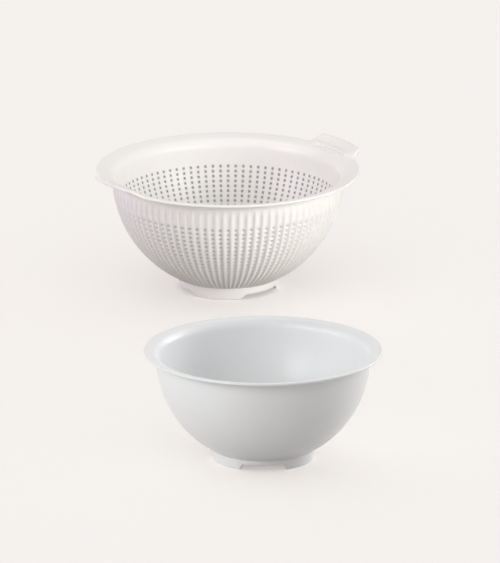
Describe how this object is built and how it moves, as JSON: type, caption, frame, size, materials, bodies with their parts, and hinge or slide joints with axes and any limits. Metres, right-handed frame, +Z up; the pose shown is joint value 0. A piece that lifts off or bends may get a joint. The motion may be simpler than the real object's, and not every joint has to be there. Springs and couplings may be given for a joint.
{
  "type": "colander and bowl set",
  "caption": "Round-bottomed plastic colander with a ribbed, perforated wall, lifting handles and a footed ring, standing behind the plain lipped mixing bowl that it drains into.",
  "frame": {"origin": "on the table plane, under the middle of the pair's bounding box", "axes": "+Z up, +Y from the bowl to the colander that stands behind it, +X to the right as seen from the bowl's side"},
  "size_m": [0.3048, 0.8898, 0.1382],
  "materials": {
    "bowl_plastic": "gloss",
    "colander_plastic": "satin"
  },
  "bodies": {
    "bowl": {"bowl": "bowl_plastic"},
    "colander": {"colander": "colander_plastic"}
  },
  "joints": [
    {"name": "colander_lift", "type": "slide", "parent": "bowl", "child": "colander", "axis": [0, 0, 1], "range_m": [0, 0.15]}
  ]
}
